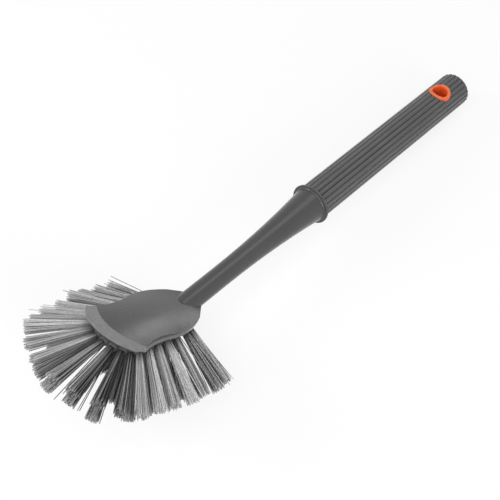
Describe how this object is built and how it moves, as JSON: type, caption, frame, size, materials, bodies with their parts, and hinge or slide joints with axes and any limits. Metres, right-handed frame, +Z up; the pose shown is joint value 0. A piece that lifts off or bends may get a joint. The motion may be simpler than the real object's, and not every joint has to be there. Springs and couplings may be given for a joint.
{
  "type": "dish brush",
  "caption": "Dish brush with a ribbed round grip, tapering neck, angled domed head with a scraping lip, a fan of bristle tufts and a lined hanging hole.",
  "frame": {"origin": "on the table under the middle of the whole brush as it lies", "axes": "+X along the brush to its hanging end, +Z up, +Y across the head"},
  "size_m": [0.3077, 0.0812, 0.0647],
  "materials": {
    "head": "satin moulded grey polypropylene",
    "grip": "matt dark grey soft-touch plastic with moulded ribs",
    "eyelet": "satin orange plastic",
    "bristle": "fine straight grey synthetic filaments",
    "anchor": "bare stamped metal"
  },
  "bodies": {
    "root": {"grip": "grip", "hanging_eyelet": "eyelet", "head_and_neck": "head", "inner_tuft_01": "bristle", "inner_tuft_02": "bristle", "inner_tuft_03": "bristle", "inner_tuft_04": "bristle", "inner_tuft_05": "bristle", "inner_tuft_06": "bristle", "inner_tuft_07": "bristle", "inner_tuft_08": "bristle", "inner_tuft_09": "bristle", "inner_tuft_10": "bristle", "middle_tuft_01": "bristle", "middle_tuft_02": "bristle", "middle_tuft_03": "bristle", "middle_tuft_04": "bristle", "middle_tuft_05": "bristle", "middle_tuft_06": "bristle", "middle_tuft_07": "bristle", "middle_tuft_08": "bristle", "middle_tuft_09": "bristle", "middle_tuft_10": "bristle", "middle_tuft_11": "bristle", "middle_tuft_12": "bristle", "middle_tuft_13": "bristle", "middle_tuft_14": "bristle", "outer_tuft_01": "bristle", "outer_tuft_02": "bristle", "outer_tuft_03": "bristle", "outer_tuft_04": "bristle", "outer_tuft_05": "bristle", "outer_tuft_06": "bristle", "outer_tuft_07": "bristle", "outer_tuft_08": "bristle", "outer_tuft_09": "bristle", "outer_tuft_10": "bristle", "outer_tuft_11": "bristle", "outer_tuft_12": "bristle", "outer_tuft_13": "bristle", "outer_tuft_14": "bristle", "outer_tuft_15": "bristle", "outer_tuft_16": "bristle", "outer_tuft_17": "bristle", "outer_tuft_18": "bristle", "outer_tuft_19": "bristle", "outer_tuft_20": "bristle", "outer_tuft_21": "bristle", "tuft_anchors": "anchor"}
  },
  "joints": []
}
